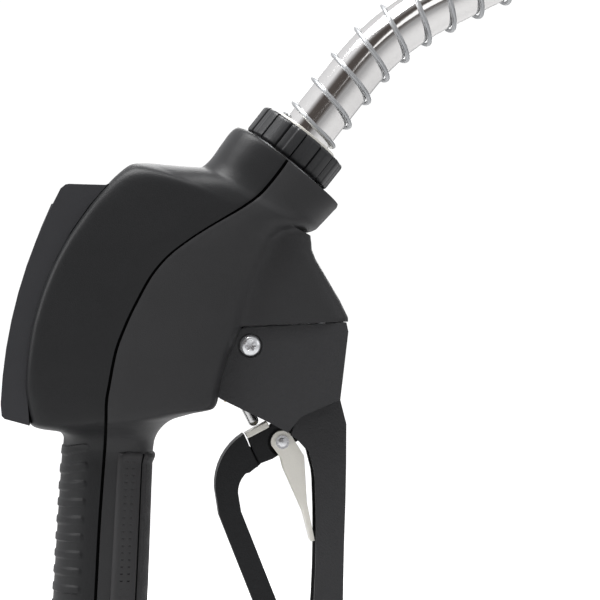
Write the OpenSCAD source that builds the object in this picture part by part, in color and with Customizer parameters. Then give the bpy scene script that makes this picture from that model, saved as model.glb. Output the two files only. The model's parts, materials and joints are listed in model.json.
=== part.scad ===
// Automatic shut-off fuel nozzle, standing upright: grip and hose inlet down, spout up and forward.
// Origin: centre of the hose inlet's mouth. +Z up the grip, +X towards the spout and the lever guard.

/* [Spout] */
// Outside diameter of the spout tube
spout_d = 20.6; // [20:0.1:21.3]
// Wall of the spout tube
spout_wall = 1.5; // [1.2:0.1:1.8]
// Straight length of the tube after its bend
spout_reach = 112; // [105:1:125]
// Angle of the bend in the spout
spout_bend = 25.2; // [22:0.2:28]
// Wire of the retaining spring round the spout
spring_wire = 1.9; // [1.6:0.1:2.1]
// Turns of the retaining spring
spring_turns = 8.5; // [7:0.5:8.5]

/* [Handle] */
// Tapping radius of the hose inlet's thread
inlet_r = 11.9; // [11.7:0.1:12.1]
// Depth of the hose inlet's thread
inlet_depth = 20; // [16:1:24]
// Wall of the plastic covers
cover_wall = 2.4; // [2:0.1:2.6]
// Gap between the two covers along their seam
seam_gap = 0.6; // [0.4:0.1:1]

/* [Lever and guard] */
// Width of the lever arm
lever_w = 14; // [13:0.5:14.2]
// Outside width of the guard's bow
bow_w = 19; // [18.6:0.2:20]
// Outside width of the guard's hood
hood_w = 40; // [39.6:0.2:41]

/* [Hidden] */
$fn = 48;
gap = 0.3;                 // between pieces that move past each other
slip = 0.05;               // radial clearance of a running fit

// Places in the nozzle's side plane, as [x, z]
neck = [64.7, 251.5];      // spout axis at the neck's end face
neck_lean = 35.2;          // lean of the spout's root from vertical
saddle = [59, 145.1];      // where the valve stem's tip meets the lever
stem_lean = 30;
pivot = [78, 149.3];       // lever pin
plunger_lean = 13;
rivet = [69.5, 139.6];     // rivet of the hold-open clip
guard_screw = [53.8, 177.4];
guard_end = [27, 8];       // screw at the guard's lower end
arm_joint = [53, 130];     // pin that holds the lever arm on its head

// Widths across the nozzle
boss_half = hood_w / 2 - 3.2;
bow_in = bow_w - 4;        // inside the bow's channel
head_w = 10;               // lever head
tongue_w = 7;              // flat end of the plunger, inside the lever head
clip_in = head_w + 2 * gap;
clip_t = 1.3;
screw_r = 2.5;

// Along the grip
casting_r = 14.4;
cover_foot = 15;

// Along the valve stem, from the saddle
stem_r = 2.2;
stem_tip = 0.35;
nut_z = 14.2;
packing_z = 23;
guide_z = 30;
seat_z = 66;
chamber_r = 13;
cap_z = 90;
flow_r = 9;

// Along the plunger, from the lever pin
plunger_r = 5;
ring_z = 24;
ball_z = 32;
ball_r = 1.7;
ball_out = 4.5;            // radius of the balls' centres when latched
shelf_z = 44;              // the diaphragm's flange
flange_r = 15;
dome_r = 10.3;             // inside the flange, under and over the diaphragm
drop = 7.2;                // travel of the plunger when it is let go
ball_in = 1.2;             // how far the balls move inwards meanwhile
pin_lift = 2.4;

// Along the spout, from the neck's end face
bend_r = 100;
bend_z = 45.4;
spout_r = spout_d / 2;
bore_r = spout_r - spout_wall;
adapter_r = 13;
nut_r = 19.5;
nut_h = 12.7;
tube_foot = -16;
tip_len = 5;
sized_from = 38;           // the free end is sized to the full diameter from here on, past the bend
sizing = 0.2;
arc_len = bend_r * spout_bend * PI / 180;
vac_x = 5.2;               // vacuum tube, below the spout's axis
vac_r = 2.2;

// ---- Frames -------------------------------------------------------------------
module at_spout() { translate([neck[0], 0, neck[1]]) rotate([0, neck_lean, 0]) children(); }
module at_stem() { translate([saddle[0], 0, saddle[1]]) rotate([0, -stem_lean, 0]) children(); }
module at_plunger() { translate([pivot[0], 0, pivot[1]]) rotate([0, -plunger_lean, 0]) children(); }
// Turns a cylinder so that it lies across the nozzle, centred on the side plane
module across(p) { translate([p[0], 0, p[1]]) rotate([90, 0, 0]) children(); }
// Where the spout runs straight again, after its bend
module past_bend() {
    translate([bend_r, 0, bend_z]) rotate([0, spout_bend, 0]) translate([-bend_r, 0, 0]) children();
}

// ---- Simple solids --------------------------------------------------------------
module rod(r, h, z = 0) { translate([0, 0, z]) cylinder(r = r, h = h); }
module pin(r, w) { cylinder(r = r, h = w, center = true); }
module tube(r_out, r_in, h, z = 0) {
    difference() {
        rod(r_out, h, z);
        rod(r_in, h + 2, z - 1);
    }
}
// An outline in the side plane, w wide across the nozzle
module slab(w) { rotate([90, 0, 0]) linear_extrude(w, center = true) children(); }
// A round bar from p to q in the side plane
module bar(p, q, r) {
    d = q - p;
    translate([p[0], 0, p[1]]) rotate([0, atan2(d[0], d[1]), 0]) cylinder(r = r, h = norm(d));
}
// A pipe that follows the spout, x below its axis
module spout_pipe(r_out, r_in, start, end, x = 0) {
    translate([x, 0, 0]) tube(r_out, r_in, bend_z - start, start);
    elbow(r_out - 0.02, (r_in + 0.02) / cos(180 / elbow_sides(r_out)), x);
    past_bend() translate([x, 0, 0]) tube(r_out, r_in, end);
}
function elbow_sides(r) = r > 5 ? 48 : 16;
// The bent stretch of a pipe, which reaches a little way into the straight walls at both ends
module elbow(r_out, r_in, x) {
    sides = elbow_sides(r_out);
    steps = 12;
    into = 0.3;
    points = [for (i = [0:steps]) for (r = [r_out, r_in]) for (k = [0:sides - 1])
        let (s = bend_z - into + (arc_len + 2 * into) * i / steps, a = 360 * k / sides)
        axis_at(s) + (x + r * cos(a)) * below(s) + [0, r * sin(a), 0]];
    function at(i, wall, k) = (2 * i + wall) * sides + k % sides;
    polyhedron(points, concat(
        [for (i = [0:steps - 1]) for (k = [0:sides - 1]) each [
            [at(i, 0, k), at(i + 1, 0, k), at(i + 1, 0, k + 1)], [at(i, 0, k), at(i + 1, 0, k + 1), at(i, 0, k + 1)],
            [at(i, 1, k), at(i + 1, 1, k + 1), at(i + 1, 1, k)], [at(i, 1, k), at(i, 1, k + 1), at(i + 1, 1, k + 1)]
        ]],
        [for (k = [0:sides - 1]) each [
            [at(0, 0, k), at(0, 0, k + 1), at(0, 1, k + 1)], [at(0, 0, k), at(0, 1, k + 1), at(0, 1, k)],
            [at(steps, 0, k), at(steps, 1, k + 1), at(steps, 0, k + 1)],
            [at(steps, 0, k), at(steps, 1, k), at(steps, 1, k + 1)]
        ]]
    ));
}

// ---- Outlines -------------------------------------------------------------------
// Points on the arc from a through b to c
function arc(a, b, c, n = 8) =
    let (
        d = 2 * (a[0] * (b[1] - c[1]) + b[0] * (c[1] - a[1]) + c[0] * (a[1] - b[1])),
        a2 = a * a, b2 = b * b, c2 = c * c,
        m = [(a2 * (b[1] - c[1]) + b2 * (c[1] - a[1]) + c2 * (a[1] - b[1])) / d,
             (a2 * (c[0] - b[0]) + b2 * (a[0] - c[0]) + c2 * (b[0] - a[0])) / d],
        r = norm(a - m),
        t0 = atan2(a[1] - m[1], a[0] - m[0]),
        t1 = atan2(c[1] - m[1], c[0] - m[0]),
        left = (b - a)[0] * (c - b)[1] - (b - a)[1] * (c - b)[0] > 0,
        sweep = left ? (t1 - t0 + 720) % 360 : -((t0 - t1 + 720) % 360)
    )
    [for (i = [0:n]) m + r * [cos(t0 + sweep * i / n), sin(t0 + sweep * i / n)]];

// Points on a circle arc about m
function fan(m, r, from, to, n = 6) = [for (i = [0:n]) m + r * [cos(from + (to - from) * i / n), sin(from + (to - from) * i / n)]];

function seam() = concat(
    [[-3, 0], [-3, 72], [-1.7, 100], [-0.9, 136]],
    arc([-1.4, 152], [8.8, 193.6], [27.1, 217.4]),
    arc([47.9, 231.8], [55, 237.5], [59.3, 243.6], 4),
    [[70, 261]]
);
// Everything behind the seam
module behind_seam() {
    polygon(concat(seam(), [[60, 300], [-70, 300], [-70, 0]]));
}

// ---- Plastic covers -------------------------------------------------------------
// Stations up the handle: [back edge, front edge, half-width, squareness]
stations = [
    [[-17.5, cover_foot], [17.5, cover_foot], 17.5, 2.2],
    [[-18, 72], [18, 72], 18, 2.2],
    [[-17.6, 128], [17.1, 129], 17.8, 2.2],
    [[-17.4, 135], [18.4, 136], 19.5, 2.4],
    [[-20, 139.5], [20.5, 141.8], 23, 2.7],
    [[-28.6, 140.9], [25, 146.2], 26.5, 3],
    [[-30.3, 144.5], [34, 149.9], 29, 3.2],
    [[-31.6, 152], [41.8, 153.5], 30.5, 3.4],
    [[-32.2, 162], [44, 164], 31.5, 3.6],
    [[-31.6, 173], [47, 175], 32, 3.6],
    [[-29.8, 185], [51.5, 185.5], 32, 3.6],
    [[-26.6, 198], [55, 196], 32, 3.6],
    [[-21.8, 210.5], [58, 205.5], 32, 3.6],
    [[-15.5, 222], [60.5, 213], 32, 3.6],
    [[-8, 232], [63, 219.5], 31.5, 3.4],
    [[1, 242], [67, 222.5], 31, 3.2],
    [[12, 247.1], [71.5, 223.2], 30.5, 3],
    [[24, 246.8], [75.8, 223.6], 29.5, 2.8],
    [[33, 247.5], [79.5, 226], 28, 2.6],
    [[39, 256.5], [83, 230], 27, 2.4],
    [[47.2, 263.8], [87, 235.2], 26, 2.2]
];
ring_points = 28;
function power(v, k) = sign(v) * pow(abs(v), k);
// Direction of edge j of the stations at station i
function run(j, i) =
    let (v = stations[min(i + 1, len(stations) - 1)][j] - stations[max(i - 1, 0)][j])
    v / norm(v);
// An edge point moved inwards by the wall
function inner(j, i, wall) =
    let (t = run(j, i), side = j == 0 ? 1 : -1)
    stations[i][j] + wall * side * [t[1], -t[0]];
function ring(a, b, w, p) =
    let (m = (a + b) / 2, h = (b - a) / 2)
    [for (k = [0:ring_points - 1])
        let (t = 360 * k / ring_points, c = power(cos(t), 2 / p), s = power(sin(t), 2 / p))
        [m[0] + h[0] * c, w * s, m[1] + h[1] * c]];
// The handle's skin as one closed solid, inset by a wall and run on past both ends by more
module skin(wall, more) {
    last = len(stations) - 1;
    ends = [[0, -more], more * [sin(neck_lean), cos(neck_lean)]];
    rings = [for (i = [0:last])
        let (
            shift = i == 0 ? ends[0] : i == last ? ends[1] : [0, 0],
            a = i == last ? stations[i][0] : inner(0, i, wall),
            b = i == last ? stations[i][1] : inner(1, i, wall),
            along = i == last ? wall * (b - a) / norm(b - a) : [0, 0]
        )
        each ring(a + along + shift, b - along + shift, stations[i][2] - wall, stations[i][3])];
    sides = [for (i = [0:last - 1]) for (k = [0:ring_points - 1])
        let (a = i * ring_points + k, b = i * ring_points + (k + 1) % ring_points)
        each [[a, a + ring_points, b + ring_points], [a, b + ring_points, b]]];
    polyhedron(rings, concat(
        sides,
        [[for (k = [0:ring_points - 1]) k]],
        [[for (k = [ring_points - 1:-1:0]) last * ring_points + k]]
    ));
}

// The nose that covers the latch, in front of the main cover
module nose_outline() {
    polygon([[54, 185.4], [92.4, 189.2], [91.9, 190.8], [76.8, 217.6], [76, 220.4], [80.2, 225.5], [58, 222]]);
}
module nose_room() {
    polygon([[46, 180], [90.6, 186], [90.2, 190], [74.8, 217], [73.6, 221.5], [60, 221.5], [50, 200]]);
}
// Space under the covers for the guard's hood and the casting between its cheeks
module hood_room() {
    polygon([[30, 130], [40.4, 152.5], [40.8, 158.6], [47.6, 182], [49.2, 184.9], [92, 188.6], [110, 188.6], [110, 130]]);
}

module cover_shell() {
    difference() {
        skin(0, 0);
        skin(cover_wall, 3);
    }
}

module rear_cover() color("#202225") intersection() {
    cover_shell();
    translate([-seam_gap / 2, 0, 0]) slab(100) behind_seam();
}

module front_cover() color("#202225") difference() {
    union() {
        cover_shell();
        difference() {
            slab(44) nose_outline();
            slab(39.2) nose_room();
            skin(cover_wall / 2, 3);
        }
    }
    translate([seam_gap / 2, 0, 0]) slab(100) behind_seam();
    slab(35) nose_room();
    slab(hood_w + 1) hood_room();
    slab(2 * boss_half + 1) polygon([[36, 146], [36, 158], [44, 184], [56, 192], [60, 150]]);
    rotate([0, 0, -74]) rotate_extrude(angle = 148) translate([16.9, 21]) square([10, 111]);
}

module grip_pad() color("#17181a")
    rotate([0, 0, -73]) rotate_extrude(angle = 146) translate([16.9, 21.3]) square([1.3, 110.4]);

// ---- Panel on the back ------------------------------------------------------------
panel_out = [[-42.3, 149.8], [-38.5, 190.1], [-23.7, 234.6]];
rim = [[-31.7, 150.5], [-29.2, 190.7], [-5.2, 237.5]];
function off(p, d) = [for (q = p) q + [d, 0]];
module panel_frame() color("#1c1d20") difference() {
    slab(56) polygon(concat(
        arc(rim[0], rim[1], rim[2]),
        [[-6.4, 237], [-20.4, 236.6], [-21.8, 236.3]],
        arc(panel_out[2], panel_out[1], panel_out[0]),
        [[-41.6, 145.1], [-40.4, 144], [-30.6, 141.9]]
    ));
    slab(49) polygon(concat(
        arc([-25.3, 229], [-36.9, 190.1], [-40.5, 150]),
        [[-60, 150], [-60, 229]]
    ));
    slab(42) polygon(concat(arc([-18, 226], [-32, 190], [-35.4, 154]), [[-60, 154], [-60, 226]]));
}
module panel_face() color("#2b2d31") slab(48.4) polygon(concat(
    arc([-25.6, 228.6], [-37, 190.1], [-40.7, 150.3]),
    arc([-41.9, 150.3], [-38.2, 190.1], [-26.9, 228.6])
));

// ---- Casting --------------------------------------------------------------------
module casting_walls() {
    rod(17.2, 14.2);
    rod(casting_r, 150);
    rod(13, 73, 145);
    at_stem() {
        rod(8.6, 40, nut_z + 5);
        rod(12, 20, 44);
        rod(17, cap_z - 56, 56);
    }
    at_plunger() {
        rod(9, 12, 8);
        rod(flange_r, shelf_z - 14, 14);
    }
    at_spout() {
        rod(15.5, 43, -44);
        rod(16, 17, -18);
        rod(18.4, 11, -12);
        rod(16.5, 7, -1);
    }
    slab(24) polygon([
        [-11, 151], [0, 147], [14, 151], [40, 158], [50, 168], [58, 172], [70, 186], [66, 196],
        [57, 205], [55, 215], [42, 224], [28, 226], [0, 217], [-11, 212]
    ]);
    across(guard_screw) pin(5.6, 2 * boss_half);
    slab(10.6) polygon(concat([[8, 1], [27, 2]], fan(guard_end, 5, -80, 80), [[26, 13.5], [8, 13.5]]));
}
module body_casting() color("#b9bcc0") difference() {
    casting_walls();
    rod(inlet_r, inlet_depth + 1, -1);
    rod(flow_r, 197, 15);
    translate([0, 0, inlet_depth]) cylinder(r1 = inlet_r, r2 = flow_r, h = 3);
    at_stem() {
        rod(stem_r + slip, seat_z, 0);
        rod(5.5, guide_z - nut_z, nut_z);
        rod(flow_r, 21, seat_z - 20);
        rod(chamber_r, 60, seat_z);
        rod(17.1, 20, cap_z);
    }
    bar([39, 190], [49.6, 214.4], 5);
    bar([50.6, 211.4], [42.5, 219.5], 4.4);
    at_spout() {
        rod(flow_r, 8, -40);
        rod(adapter_r, 45, -34);
    }
    at_plunger() {
        rod(plunger_r + slip, 40, 0);
        rod(8, 30, ring_z);
        rod(dome_r, 20, ball_z + 6);
        rod(flange_r + 0.2, 12, shelf_z);
        cap_holes(1.4, shelf_z - 8);
    }
    for (s = [-1, 1]) translate([guard_screw[0], s * (boss_half + 1), guard_screw[1]])
        rotate([90 * s, 0, 0]) cylinder(r = screw_r, h = 10);
    across(guard_end) pin(2.1, 20);
}

// ---- Main valve -----------------------------------------------------------------
module valve_cap() color("#c9a85c") at_stem() {
    difference() {
        rod(chamber_r - slip, 8.3, cap_z - 7);
        rod(9.5, 4.5, cap_z - 7.5);
    }
    rod(14.5, 2.2, cap_z + 1.2);
    rod(8, 4, cap_z + 3, $fn = 6);
}
module cap_seal() color("#181818") at_stem() tube(16, chamber_r, 1.1, cap_z + 0.05);
module stem_packing() color("#e7e2d5") at_stem() tube(5.45, stem_r + slip, guide_z - packing_z - 0.1, packing_z);
module packing_nut() color("#c9a85c") at_stem() difference() {
    union() {
        rod(6.8, 4.8, nut_z, $fn = 6);
        rod(5.45, packing_z - nut_z - 0.1, nut_z);
    }
    rod(stem_r + slip, 20, nut_z - 1);
}
module valve_stem() color("#d2d4d6") at_stem() {
    rod(stem_r, seat_z + 5 - stem_tip - stem_r, stem_tip + stem_r);
    translate([0, 0, stem_tip + stem_r]) sphere(r = stem_r);
}
module main_poppet() color("#c9a85c") at_stem() difference() {
    union() {
        rod(11.6, 3, seat_z + 2);
        rod(5, 6, seat_z + 2);
    }
    rod(stem_r, 10, seat_z - 5 + slip);
}
module seat_disc() color("#1b1b1b") at_stem() tube(11, stem_r + 0.2, 1.9, seat_z + slip);
module poppet_spring() color("#aeb2b6") at_stem() translate([0, 0, seat_z + 5.9])
    coil(r = 7.2, wire = 1.5, h = cap_z - 3 - seat_z - 5 - 1.8, turns = 5);

// ---- Automatic shut-off -----------------------------------------------------------
// Latched, the balls hold the plunger up on the ring's cone; the pin behind them keeps them out
module latch_ring() color("#9a9da1") at_plunger() difference() {
    rod(7.98, ball_z + 5 - ring_z, ring_z + 0.02);
    translate([0, 0, ring_z - 1]) cylinder(r1 = 4.98, r2 = 4.98 + 15 * ball_in / drop, h = 15);
    rod(plunger_r + slip, 30, ring_z - 1);
}
module plunger() color("#c4c6c8") at_plunger() difference() {
    union() {
        rod(plunger_r, 27, 9);
        intersection() {
            slab(tongue_w) polygon(concat(fan([0, 0], 5, 180, 360, 10), [[5, 12], [-5, 12]]));
            rod(plunger_r, 22, -8);
        }
    }
    rod(3.1, 30, 18);
    rotate([90, 0, 0]) pin(screw_r + slip, 20);
    for (a = [0:120:240]) rotate([0, 0, a]) translate([0, 0, ball_z]) rotate([0, 90, 0])
        cylinder(r = ball_r + slip, h = 8);
}
module latch_ball(turn) color("#e3e5e7") at_plunger() rotate([0, 0, turn])
    translate([ball_out, 0, ball_z]) sphere(r = ball_r);
module latch_ball_1() { latch_ball(0); }
module latch_ball_2() { latch_ball(120); }
module latch_ball_3() { latch_ball(240); }
module latch_pin() color("#d2d4d6") at_plunger() {
    slope = ball_in / (drop + pin_lift);
    translate([0, 0, 20]) cylinder(r1 = 2.7 - 12.2 * slope, r2 = 2.7, h = 12.2);
    rod(2.7, shelf_z - 2 - 32, 32);
    rod(2.2, 8.4, shelf_z - 4);
    rod(8, 1.2, shelf_z - 1.5);
    rod(8, 1, shelf_z + 1.5);
}
module cap_holes(r, z) {
    for (a = [45:90:315]) rotate([0, 0, a]) translate([12.7, 0, z]) cylinder(r = r, h = 12);
}
module diaphragm() color("#26241f") at_plunger() difference() {
    rod(flange_r, 1.1, shelf_z + 0.05);
    rod(2.6, 5, shelf_z - 1);
    cap_holes(1.6, shelf_z - 1);
}
module diaphragm_cap() color("#b9bcc0") at_plunger() difference() {
    rod(flange_r, 8, shelf_z + 1.2);
    rod(dome_r, 6, shelf_z + 1.1);
    cap_holes(1.6, shelf_z);
}
module diaphragm_spring() color("#aeb2b6") at_plunger() translate([0, 0, shelf_z + 3.1])
    coil(r = 5, wire = 0.9, h = 3.3, turns = 2.5, sides = 6);
module diaphragm_screws() color("#c7c9cc") at_plunger()
    for (a = [45:90:315]) rotate([0, 0, a]) translate([12.7, 0, 0]) {
        rod(1.35, 13.4, shelf_z - 4);
        rod(2.3, 1.4, shelf_z + 9.22);
    }

// ---- Springs ----------------------------------------------------------------------
// A round wire of radius w along the points p; out[i] points away from the coil's axis
module wire(p, out, w, sides) {
    n = len(p);
    rings = [for (i = [0:n - 1])
        let (
            v = p[min(i + 1, n - 1)] - p[max(i - 1, 0)],
            d = v / norm(v),
            f = out[i] - (out[i] * d) * d,
            u = f / norm(f),
            t = cross(d, u)
        )
        each [for (k = [0:sides - 1]) p[i] + w * (cos(360 * k / sides) * u + sin(360 * k / sides) * t)]];
    walls = [for (i = [0:n - 2]) for (k = [0:sides - 1])
        let (a = i * sides + k, b = i * sides + (k + 1) % sides)
        each [[a, a + sides, b + sides], [a, b + sides, b]]];
    polyhedron(rings, concat(
        walls,
        [[for (k = [0:sides - 1]) k]],
        [[for (k = [sides - 1:-1:0]) (n - 1) * sides + k]]
    ));
}
// A compression spring that stands on its local floor, its end turns closed
module coil(r, wire, h, turns, sides = 8, hand = 1) {
    n = ceil(turns * 18);
    out = [for (i = [0:n]) let (a = 360 * turns * hand * i / n) [cos(a), sin(a), 0]];
    rise = [for (i = [0:n]) let (u = i / n, s = u * u * (3 - 2 * u)) h * (0.45 * u + 0.55 * s)];
    wire([for (i = [0:n]) r * out[i] + [0, 0, rise[i]]], out, wire / 2, sides);
}
// A point of the spout's axis at a length along it, and the direction that is "below" there
function bend_at(s) = max(0, min(s - bend_z, arc_len)) / bend_r * 180 / PI;
function below(s) = let (b = bend_at(s)) [cos(b), 0, -sin(b)];
function axis_at(s) =
    let (b = bend_at(s), ahead = max(0, s - bend_z - arc_len))
    [bend_r * (1 - cos(b)), 0, min(s, bend_z) + bend_r * sin(b)] + ahead * [sin(b), 0, cos(b)];

module spout_spring() color("#9fa3a7") at_spout() {
    r = spout_r + 0.35 + spring_wire / 2;
    start = nut_h + 2.2;
    length = 109;
    slow = 0.8;            // turns wound close together at the start
    n = ceil((spring_turns + slow) * 22);
    s = [for (i = [0:n]) let (v = (spring_turns + slow) * i / n)
        start + 3.2 * min(v, slow) + max(0, v - slow) * (length - 3.2 * slow) / spring_turns];
    out = [for (i = [0:n]) let (a = -360 * (spring_turns + slow) * i / n + 200) cos(a) * below(s[i]) + [0, sin(a), 0]];
    wire([for (i = [0:n]) axis_at(s[i]) + r * out[i]], out, spring_wire / 2, 8);
}

// ---- Spout -------------------------------------------------------------------------
module spout_nut() color("#1d1e20") at_spout() difference() {
    union() {
        rod(nut_r - 1.2, nut_h - 1.5, 0.3);
        translate([0, 0, nut_h - 1.2]) cylinder(r1 = nut_r - 1.2, r2 = nut_r - 2.6, h = 1.2);
        for (a = [0:15:345]) rotate([0, 0, a]) translate([nut_r - 2.2, -1.7, 0.3]) cube([2.2, 3.4, nut_h - 2.6]);
    }
    rod(16.5 + slip, 9.3, -1);
    rod(12.6, 20, 5);
}
module spout_adapter() color("#c9a85c") at_spout() difference() {
    union() {
        rod(adapter_r - slip, 25, -20);
        rod(16.3, 2, 6.1);
        rod(adapter_r - slip, 5, 3.2);
    }
    rod(spout_r - sizing + slip, 40, tube_foot);
    difference() {
        rod(8, 10, -22);
        translate([-10, -2, -20.1]) cube([20, 4, 5]);
        rod(3.2, 4.2, -20.1);
    }
    rod(1.5 + slip, 10, -22);
    for (z = [-10, -4]) translate([0, 0, z]) rotate_extrude() translate([adapter_r - 1, 0]) circle(r = 1);
}
module adapter_seal() color("#181818") at_spout()
    for (z = [-10, -4]) translate([0, 0, z]) rotate_extrude() translate([adapter_r - 1, 0]) circle(r = 0.95);
module spout_tube() color("#cfd2d5") at_spout() {
    spout_pipe(spout_r - sizing, bore_r, tube_foot, sized_from + 1);
    past_bend() tube(spout_r, bore_r, spout_reach - tip_len - sized_from, sized_from);
}
module spout_tip() color("#b4b8bb") at_spout() past_bend() difference() {
    union() {
        rod(spout_r, tip_len - 1.5, spout_reach - tip_len + 0.05);
        translate([0, 0, spout_reach - 1.5]) cylinder(r1 = spout_r, r2 = spout_r - 1, h = 1.5);
        rod(bore_r - slip, 8, spout_reach - tip_len - 6);
    }
    rod(bore_r - 1, 30, spout_reach - 20);
}
module spout_ring() color("#d8d2c0") at_spout() tube(14.2, spout_r + 0.2, 1.2, nut_h + 0.05);
module vacuum_tube() color("#c9a85c") at_spout() spout_pipe(vac_r, vac_r - 0.6, -12, spout_reach - 42, vac_x);
module attitude_cage() color("#b9bcc0") at_spout() past_bend() translate([vac_x, 0, spout_reach - 46]) difference() {
    rod(3.5, 20, 0);
    rod(vac_r + slip, 4.4, -0.1);
    rod(1.5, 9, 0);
    rod(2.7, 9.6, 8);
    for (z = [11, 14]) translate([0, 0, z]) rotate([90, 0, 0]) pin(1, 20);
    rod(1.5, 10, 15);
}
module attitude_ball() color("#e3e5e7") at_spout() past_bend()
    translate([vac_x, 0, spout_reach - 46 + 10.7]) sphere(r = 2.6);
module check_seat() color("#c9a85c") at_spout() tube(adapter_r - slip, 7.5, 3.4, -33.9);
module check_poppet() color("#e7e2d5") at_spout() {
    rod(9, 2.2, -30.4);
    rod(1.5, 13, -28.4);
}
module check_spring() color("#aeb2b6") at_spout() translate([0, 0, -27.7]) coil(r = 5.5, wire = 0.9, h = 6.8, turns = 3.5, sides = 6);

// ---- Lever -------------------------------------------------------------------------
module head_outline() {
    polygon(concat(
        fan(pivot, 6, 120, -60, 10),
        [[76, 140.6]], fan(rivet, 5.3, 0, -100, 6),
        [[66, 132.6], [61, 130.4], [58, 135.6], [56.1, 139.9], [56.9, 140.9], [63.9, 145], [69.5, 151]]
    ));
}
// The head's shank, inside the arm
module shank_outline() { polygon([[57, 137], [61.6, 130.3], [57.4, 126.6], [49.6, 124], [48.6, 128.4], [51.6, 133.6]]); }
module lever_head() color("#a9adb1") difference() {
    union() {
        slab(head_w) head_outline();
        slab(head_w - 4) shank_outline();
    }
    slab(tongue_w + 0.6) polygon(concat(fan(pivot, 8.5, 140, 330, 10), [[90, 160], [66, 160]]));
    across(pivot) pin(screw_r, 40);
    across(rivet) pin(1.5, 40);
    for (s = [-1, 1]) translate([0, s * 6.6, 0]) across(rivet) pin(5.6, 8);
    across(arm_joint) pin(1.5, 40);
}
module lever_saddle() color("#d9dadb") slab(head_w + 2) polygon([
    [63, 147.3], [64.2, 145.3], [57, 141], [55.9, 140.4], [54.6, 142.3]
]);
module lever_pin() color("#c7c9cc") across(pivot) pin(screw_r - slip, 14);
module arm_pin() color("#c7c9cc") across(arm_joint) pin(1.5, lever_w - 3);
function arm_outer() = concat(arc([54, 142.1], [46.8, 134], [43.9, 119.4], 8), [[46.1, 108.9], [61.3, 75.9], [73, 50.2]]);
function arm_inner() = concat(
    [[83.4, 50.4], [70.9, 76], [54.6, 111.2]],
    arc([53, 118.5], [53.8, 123.5], [56.5, 127.2], 5),
    [[60.5, 129.5]]
);
module lever_arm() color("#1b1c1e") difference() {
    slab(lever_w) polygon(concat(arm_outer(), fan([78, 50.5], 5, 190, 350, 6), arm_inner(), [[57.3, 135.4], [55.4, 139.5]]));
    slab(lever_w - 7.6) polygon([
        [62, 131.5], [57.2, 138.5], [52, 134.6], [48.1, 128.6], [46.9, 119.3], [49, 109.8],
        [64, 77], [75.2, 52.4], [100, 52], [100, 131]
    ]);
    across(arm_joint) pin(1.5, lever_w - 3);
}

// ---- Hold-open clip ------------------------------------------------------------------
module clip_rivet() color("#c7c9cc") {
    across(rivet) pin(1.5 - slip, clip_in + 2 * clip_t + 1.4);
    for (s = [-1, 1]) translate([0, s * (clip_in / 2 + clip_t + 0.6), 0]) across(rivet) pin(2.7, 0.8);
}
module hold_open_clip() color("#d0cfc8") difference() {
    slab(clip_in + 2 * clip_t) polygon(concat(
        fan(rivet, 4.6, 200, 20, 10),
        [[78.5, 134.5], [80.6, 116.2], [84.6, 101], [83, 100.6], [79.4, 112.1], [70.8, 128.9], [69.6, 132.8]]
    ));
    slab(clip_in) polygon(concat(fan(rivet, 6, 200, 30, 10), [[76.7, 134], [79, 115.6], [80.4, 108], [60, 108]]));
    across(rivet) pin(1.5, 40);
    for (s = [-1, 1]) translate([0, s * 7, 0]) slab(6) polygon([[81.8, 90], [78.6, 112.4], [70, 112], [70, 90]]);
}
// A torsion spring round the rivet, one leg on the head and one on the clip
module clip_spring() color("#8d9195") {
    n = 40;
    width = 1.7;
    out = [for (i = [0:n]) let (a = 200 + 900 * i / n) [cos(a), 0, sin(a)]];
    foot = [rivet[0], 3.05, rivet[1]];
    turns = [for (i = [0:n]) foot + 2.6 * out[i] + [0, width * i / n, 0]];
    legs = [foot + [-4.6, 0, -2.2], foot + [5, width, -7]];
    wire(concat([legs[0]], turns, [legs[1]]), concat([out[0]], out, [out[n]]), 0.35, 6);
}

// ---- Guard --------------------------------------------------------------------------
module guard_hood_outline() {
    polygon(concat(
        [[91.2, 188.6]],
        fan([52.2, 181], 3.6, 95, 163, 4),
        fan([45.2, 159.4], 4, 163, 243, 5),
        [[64.1, 147.1], [70.6, 143.9], [75.2, 150.4], [90.5, 158.1], [92.2, 185]]
    ));
}
function bow_outer() = concat(
    [[91.3, 158.1], [94.4, 148.2], [95.2, 132], [95.7, 118], [96.1, 100]], arc([96.9, 78], [96.5, 63], [94, 50], 5),
    arc([91, 38], [78, 17], [60, 8], 8), [[30, 2.6]]
);
function bow_inner() = concat(
    [[26, 13.6], [56, 18.6]], arc([62, 20.6], [75, 29], [82, 44], 6),
    arc([84.6, 56], [85.2, 90], [83.1, 124.8], 6), [[82.5, 128.7]],
    arc([80, 136.7], [76, 140.4], [71.4, 143.1], 3), [[72, 152]]
);
// The channel inside the bow, open towards the grip
function channel_outer() = concat(
    [[89.2, 159], [92.2, 148], [93.2, 132], [93.9, 124], [94.65, 94]],
    arc([94.9, 78], [94.3, 63.5], [91.5, 51], 5), arc([88.6, 39.5], [76.5, 19.6], [59.4, 10.8], 8), [[34, 6]]
);
module lever_guard() color("#242528") difference() {
    union() {
        slab(hood_w) guard_hood_outline();
        slab(bow_w) polygon(concat(bow_outer(), fan(guard_end, 5.5, -60, -280, 8), bow_inner()));
    }
    slab(2 * boss_half + 0.4) polygon([[90.2, 200], [89, 160], [76, 154], [71, 138], [30, 140], [30, 200]]);
    slab(bow_in) polygon(concat(channel_outer(), [[34, 30], [60, 40], [66, 150], [66, 170], [89.6, 170]]));
    slab(11.2) polygon([[10, -2], [35, -2], [36, 20], [10, 20]]);
    across(guard_screw) pin(screw_r + 0.1, 60);
    across(guard_end) pin(2.2, 60);
    for (s = [-1, 1]) translate([0, s * hood_w / 2, 0]) across(guard_screw) pin(4.9, 2);
}
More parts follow.
